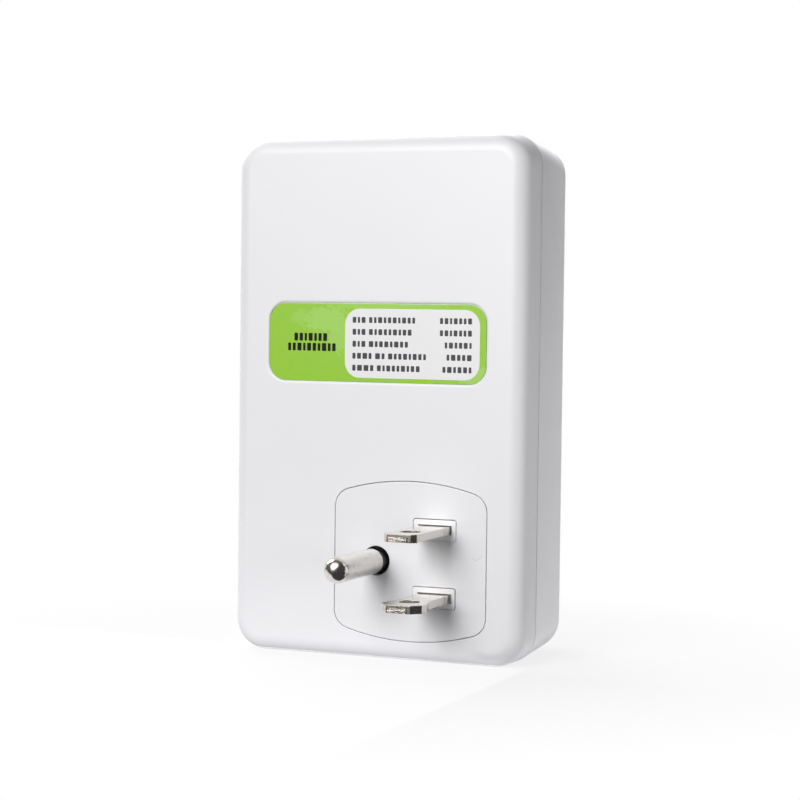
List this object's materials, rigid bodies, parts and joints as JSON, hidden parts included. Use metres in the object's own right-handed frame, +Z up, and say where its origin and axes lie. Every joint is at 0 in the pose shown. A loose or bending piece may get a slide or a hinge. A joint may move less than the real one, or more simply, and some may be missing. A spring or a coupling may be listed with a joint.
{
  "type": "appliance voltage protector",
  "caption": "Upright plug-in box with rounded corners: a grounded plug with flat blades and a round pin on its back, a matching outlet and status lamps on its front.",
  "frame": {"origin": "under the middle of the whole part, plug included, on the plane that the body stands on", "axes": "+Z up, from the plug towards the label; +Y out of the rear face, along the plug; -Y out of the front face, from the outlet; +X from the flat blades towards the ground pin"},
  "size_m": [0.0596, 0.0507, 0.0984],
  "materials": {
    "shell": "white ABS, fine satin",
    "inlay": "white ABS, fine satin",
    "carrier": "white nylon",
    "black_plastic": "black nylon",
    "nickel": "nickel-plated brass, satin",
    "label": "green printed film",
    "screw": "zinc-plated steel",
    "spring_brass": "rolled",
    "copper_strip": "bare copper",
    "fibre": "red-brown fibre sheet",
    "laminate": "glass-epoxy board under green lacquer",
    "relay_blue": "blue, glossy",
    "bobbin": "natural nylon",
    "enamelled_wire": "enamelled copper wire",
    "soft_iron": "plated soft iron",
    "terminal": "tinned brass",
    "film_yellow": "yellow case",
    "disc_blue": "blue dipped coating",
    "can_sleeve": "aluminium can in a dark sleeve",
    "epoxy": "black epoxy",
    "resistor_coat": "tan lacquer",
    "ceramic": "ochre dipped coating",
    "lens_green": "clear green epoxy",
    "lens_yellow": "clear yellow epoxy",
    "lens_red": "clear red epoxy",
    "tinned_wire": "tinned steel wire",
    "black_wire": "black insulation",
    "white_wire": "white insulation"
  },
  "bodies": {
    "housing": {"rear_shell": "shell", "front_shell": "shell", "plug_plate": "inlay", "blade_carrier": "carrier", "blade_retainer": "black_plastic", "ground_bush": "black_plastic", "hot_blade": "nickel", "neutral_blade": "nickel", "ground_pin": "nickel", "carrier_screws": "screw", "rating_label": "label", "case_screws": "screw", "outlet_face": "inlay", "outlet_block": "carrier", "outlet_cover": "carrier", "outlet_screws": "screw", "hot_contact": "spring_brass", "neutral_contact": "spring_brass", "ground_contact": "spring_brass", "neutral_strap": "copper_strip", "ground_strap": "copper_strip", "barrier": "fibre", "circuit_board": "laminate", "relay_base": "black_plastic", "relay_cover": "relay_blue", "relay_bobbin": "bobbin", "relay_coil": "enamelled_wire", "relay_core": "soft_iron", "relay_yoke": "soft_iron", "relay_terminals": "terminal", "film_capacitor": "film_yellow", "varistor": "disc_blue", "electrolytic_capacitors": "can_sleeve", "rectifier": "epoxy", "controller_chip": "epoxy", "transistor": "epoxy", "resistors": "resistor_coat", "diodes": "epoxy", "ceramic_capacitors": "ceramic", "green_lamp": "lens_green", "yellow_lamp": "lens_yellow", "red_lamp": "lens_red", "lamp_leads": "tinned_wire", "hot_in_wire": "black_wire", "hot_out_wire": "black_wire", "neutral_wire": "white_wire"},
    "armature": {"relay_armature": "soft_iron"}
  },
  "joints": [
    {"name": "armature_pivot", "type": "hinge", "parent": "housing", "child": "armature", "pos_m": [-0.01725, -0.01604, 0.04654], "axis": [0, 0, 1], "range_deg": [0, 2.8], "stiffness_Nm_per_rad": 0.01}
  ]
}
